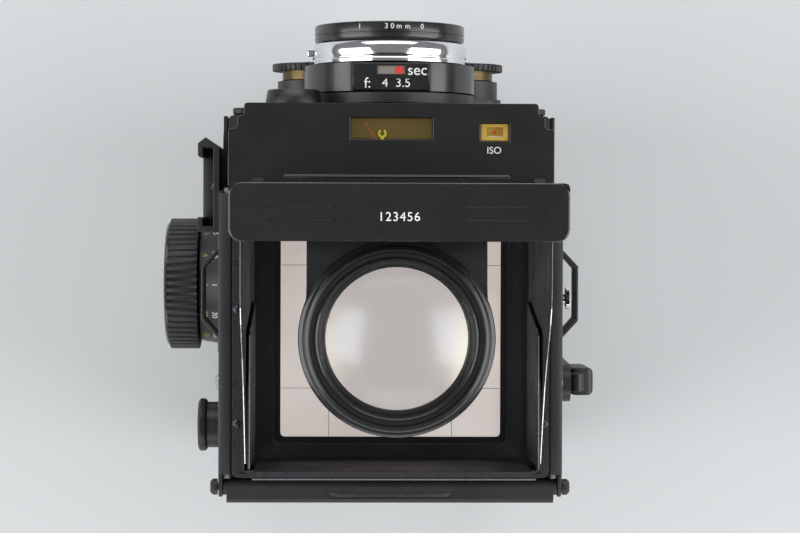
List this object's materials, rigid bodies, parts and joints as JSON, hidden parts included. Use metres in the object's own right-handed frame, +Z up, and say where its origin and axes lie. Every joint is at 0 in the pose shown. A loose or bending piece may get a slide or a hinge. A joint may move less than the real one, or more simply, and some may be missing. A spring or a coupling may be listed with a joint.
{
  "type": "twin lens reflex camera",
  "caption": "Twin lens reflex camera with its waist-level hood open and magnifier raised, coupled focusing knob and lens board, crank, hinged film door, roll-film spools and exposure meter.",
  "frame": {"origin": "on the plane that the camera stands on, on its centre plane, half way between the filter's rim and the film door", "axes": "+Z up, -Y the way the lenses look, +X towards the focusing knob and the accessory shoe"},
  "size_m": [0.1065, 0.1102, 0.208],
  "materials": {
    "body_metal": "matte",
    "gloss_black": "gloss",
    "satin_black": "satin",
    "crinkle_black": "matte",
    "leatherette": "matte",
    "chrome_trim": "polished",
    "steel_fittings": "satin",
    "lens_glass": "polished",
    "filter_glass": "polished",
    "window_glass": "gloss",
    "screen_glass": "matte",
    "mirror_silver": "polished",
    "amber_plastic": "gloss",
    "spool_plastic": "satin",
    "needle_red": "matte",
    "pointer_yellow": "matte"
  },
  "bodies": {
    "camera": {"body_casting": "body_metal", "side_plate_left": "gloss_black", "side_plate_right": "gloss_black", "grip_left": "leatherette", "grip_right": "leatherette", "hinge_rod": "steel_fittings", "front_plate": "satin_black", "reflex_mirror": "mirror_silver", "focusing_screen": "screen_glass", "screen_frame": "satin_black", "nameplate_housing": "gloss_black", "meter_window": "window_glass", "film_speed_window": "amber_plastic", "cds_bezel": "chrome_trim", "accessory_shoe": "gloss_black", "strap_bracket_left": "steel_fittings", "strap_bracket_right": "steel_fittings", "strap_stud_left": "steel_fittings", "strap_stud_right": "steel_fittings", "crank_plate": "satin_black", "hood_base": "crinkle_black"},
    "meter_needle": {"meter_needle": "needle_red"},
    "meter_pointer": {"meter_pointer": "pointer_yellow"},
    "lens_standard": {"lens_board": "satin_black", "lens_shroud": "gloss_black", "readout_panel": "gloss_black", "viewing_barrel": "satin_black", "viewing_bayonet": "chrome_trim", "viewing_glass": "lens_glass", "filter_ring": "satin_black", "filter_glass": "filter_glass", "taking_barrel": "satin_black", "taking_bayonet": "chrome_trim", "taking_glass": "lens_glass"},
    "shutter_wheel": {"shutter_wheel": "satin_black"},
    "aperture_wheel": {"aperture_wheel": "satin_black"},
    "timer_lever": {"timer_lever": "chrome_trim"},
    "shutter_release": {"shutter_release": "chrome_trim"},
    "release_collar": {"release_collar": "satin_black"},
    "focus_knob": {"focus_knob": "satin_black", "distance_scale": "satin_black"},
    "crank": {"crank_arm": "satin_black"},
    "crank_handle": {"crank_handle": "satin_black"},
    "film_selector": {"film_selector": "chrome_trim"},
    "door": {"door_shell": "satin_black", "door_leather": "leatherette", "pressure_plate": "satin_black", "tripod_bush": "steel_fittings"},
    "latch_dial": {"latch_dial": "steel_fittings"},
    "film_spool_upper": {"film_spool_upper": "spool_plastic"},
    "film_spool_lower": {"film_spool_lower": "spool_plastic"},
    "spool_knob_upper": {"spool_knob_upper": "gloss_black"},
    "spool_knob_lower": {"spool_knob_lower": "gloss_black"},
    "hood_lid": {"hood_lid": "gloss_black"},
    "finder_flap": {"finder_flap": "gloss_black"},
    "magnifier": {"magnifier_plate": "gloss_black", "magnifier_lens": "lens_glass"},
    "hood_side_left": {"hood_side_left": "gloss_black"},
    "hood_side_right": {"hood_side_right": "gloss_black"},
    "hood_rear_panel": {"hood_rear_panel": "gloss_black"}
  },
  "joints": [
    {"name": "focus_turn", "type": "hinge", "parent": "camera", "child": "focus_knob", "pos_m": [0.047, 0.0068, 0.069], "axis": [1, 0, 0], "range_deg": [0, 240]},
    {"name": "lens_slide", "type": "slide", "parent": "camera", "child": "lens_standard", "axis": [0, -1, 0], "range_m": [0, 0.007]},
    {"name": "shutter_wheel_turn", "type": "hinge", "parent": "lens_standard", "child": "shutter_wheel", "pos_m": [0.019, -0.0467, 0.0855], "axis": [0, 1, 0], "range_deg": [-120, 60]},
    {"name": "aperture_wheel_turn", "type": "hinge", "parent": "lens_standard", "child": "aperture_wheel", "pos_m": [-0.019, -0.0467, 0.0855], "axis": [0, 1, 0], "range_deg": [-10, 150]},
    {"name": "timer_lever_turn", "type": "hinge", "parent": "lens_standard", "child": "timer_lever", "pos_m": [0, -0.0402, 0.064], "axis": [0, 1, 0], "range_deg": [0, 60]},
    {"name": "meter_pointer_swing", "type": "hinge", "parent": "camera", "child": "meter_pointer", "pos_m": [0.002, -0.0186, 0.1285], "axis": [0, 0, 1], "range_deg": [-2.5, 31]},
    {"name": "meter_needle_swing", "type": "hinge", "parent": "camera", "child": "meter_needle", "pos_m": [-0.001, -0.0205, 0.13], "axis": [0, 0, 1], "range_deg": [-25, 20]},
    {"name": "shutter_release_press", "type": "slide", "parent": "camera", "child": "shutter_release", "axis": [0, 1, 0], "range_m": [0, 0.0025], "stiffness_N_per_m": 600, "springref_m": -0.001},
    {"name": "release_collar_turn", "type": "hinge", "parent": "camera", "child": "release_collar", "pos_m": [-0.027, -0.037, 0.02], "axis": [0, 1, 0], "range_deg": [0, 60]},
    {"name": "crank_turn", "type": "hinge", "parent": "camera", "child": "crank", "pos_m": [-0.043, 0.0305, 0.062], "axis": [1, 0, 0], "range_deg": [0, 200]},
    {"name": "crank_handle_fold", "type": "hinge", "parent": "crank", "child": "crank_handle", "pos_m": [-0.047, 0.0305, 0.0876], "axis": [0, 1, 0], "range_deg": [0, 90]},
    {"name": "film_selector_turn", "type": "hinge", "parent": "camera", "child": "film_selector", "pos_m": [-0.042, 0.009, 0.1095], "axis": [1, 0, 0], "range_deg": [0, 90]},
    {"name": "door_swing", "type": "hinge", "parent": "camera", "child": "door", "pos_m": [0, 0.0515, 0.1304], "axis": [1, 0, 0], "range_deg": [0, 95]},
    {"name": "latch_dial_turn", "type": "hinge", "parent": "door", "child": "latch_dial", "pos_m": [0, 0.016, 0.0017], "axis": [0, 0, 1], "range_deg": [0, 60]},
    {"name": "spool_knob_upper_pull", "type": "slide", "parent": "camera", "child": "spool_knob_upper", "axis": [1, 0, 0], "range_m": [0, 0.005], "stiffness_N_per_m": 300, "springref_m": -0.002},
    {"name": "spool_knob_lower_pull", "type": "slide", "parent": "camera", "child": "spool_knob_lower", "axis": [1, 0, 0], "range_m": [0, 0.005], "stiffness_N_per_m": 300, "springref_m": -0.002},
    {"name": "film_spool_upper_spin", "type": "hinge", "parent": "camera", "child": "film_spool_upper", "pos_m": [0, 0.0393, 0.1075], "axis": [1, 0, 0], "continuous": true},
    {"name": "film_spool_lower_spin", "type": "hinge", "parent": "camera", "child": "film_spool_lower", "pos_m": [0, -0.004, 0.0185], "axis": [1, 0, 0], "continuous": true},
    {"name": "lid_tilt", "type": "hinge", "parent": "camera", "child": "hood_lid", "pos_m": [0, -0.0144, 0.145], "axis": [-1, 0, 0], "range_deg": [0, 10], "stiffness_Nm_per_rad": 0.03, "springref_deg": -34.38},
    {"name": "magnifier_fold", "type": "hinge", "parent": "hood_lid", "child": "magnifier", "pos_m": [0, -0.0127, 0.189], "axis": [-1, 0, 0], "range_deg": [0, 85]},
    {"name": "finder_flap_fold", "type": "hinge", "parent": "hood_lid", "child": "finder_flap", "pos_m": [0, -0.0152, 0.183], "axis": [-1, 0, 0], "range_deg": [-85, 0]},
    {"name": "hood_side_left_fold", "type": "hinge", "parent": "camera", "child": "hood_side_left", "pos_m": [0.03165, 0.015, 0.1357], "axis": [0, -1, 0], "range_deg": [0, 90], "stiffness_Nm_per_rad": 0.004, "springref_deg": -28.65},
    {"name": "hood_side_right_fold", "type": "hinge", "parent": "camera", "child": "hood_side_right", "pos_m": [-0.03165, 0.015, 0.1379], "axis": [0, 1, 0], "range_deg": [0, 90], "stiffness_Nm_per_rad": 0.004, "springref_deg": -28.65},
    {"name": "hood_rear_fold", "type": "hinge", "parent": "camera", "child": "hood_rear_panel", "pos_m": [0, 0.04535, 0.1336], "axis": [1, 0, 0], "range_deg": [0, 90], "stiffness_Nm_per_rad": 0.004, "springref_deg": -28.65}
  ],
  "couplings": [
    {"joint": "focus_turn", "follows": "lens_slide", "rad_per_m": 598},
    {"joint": "meter_pointer_swing", "follows": "aperture_wheel_turn", "ratio": 0.2}
  ]
}
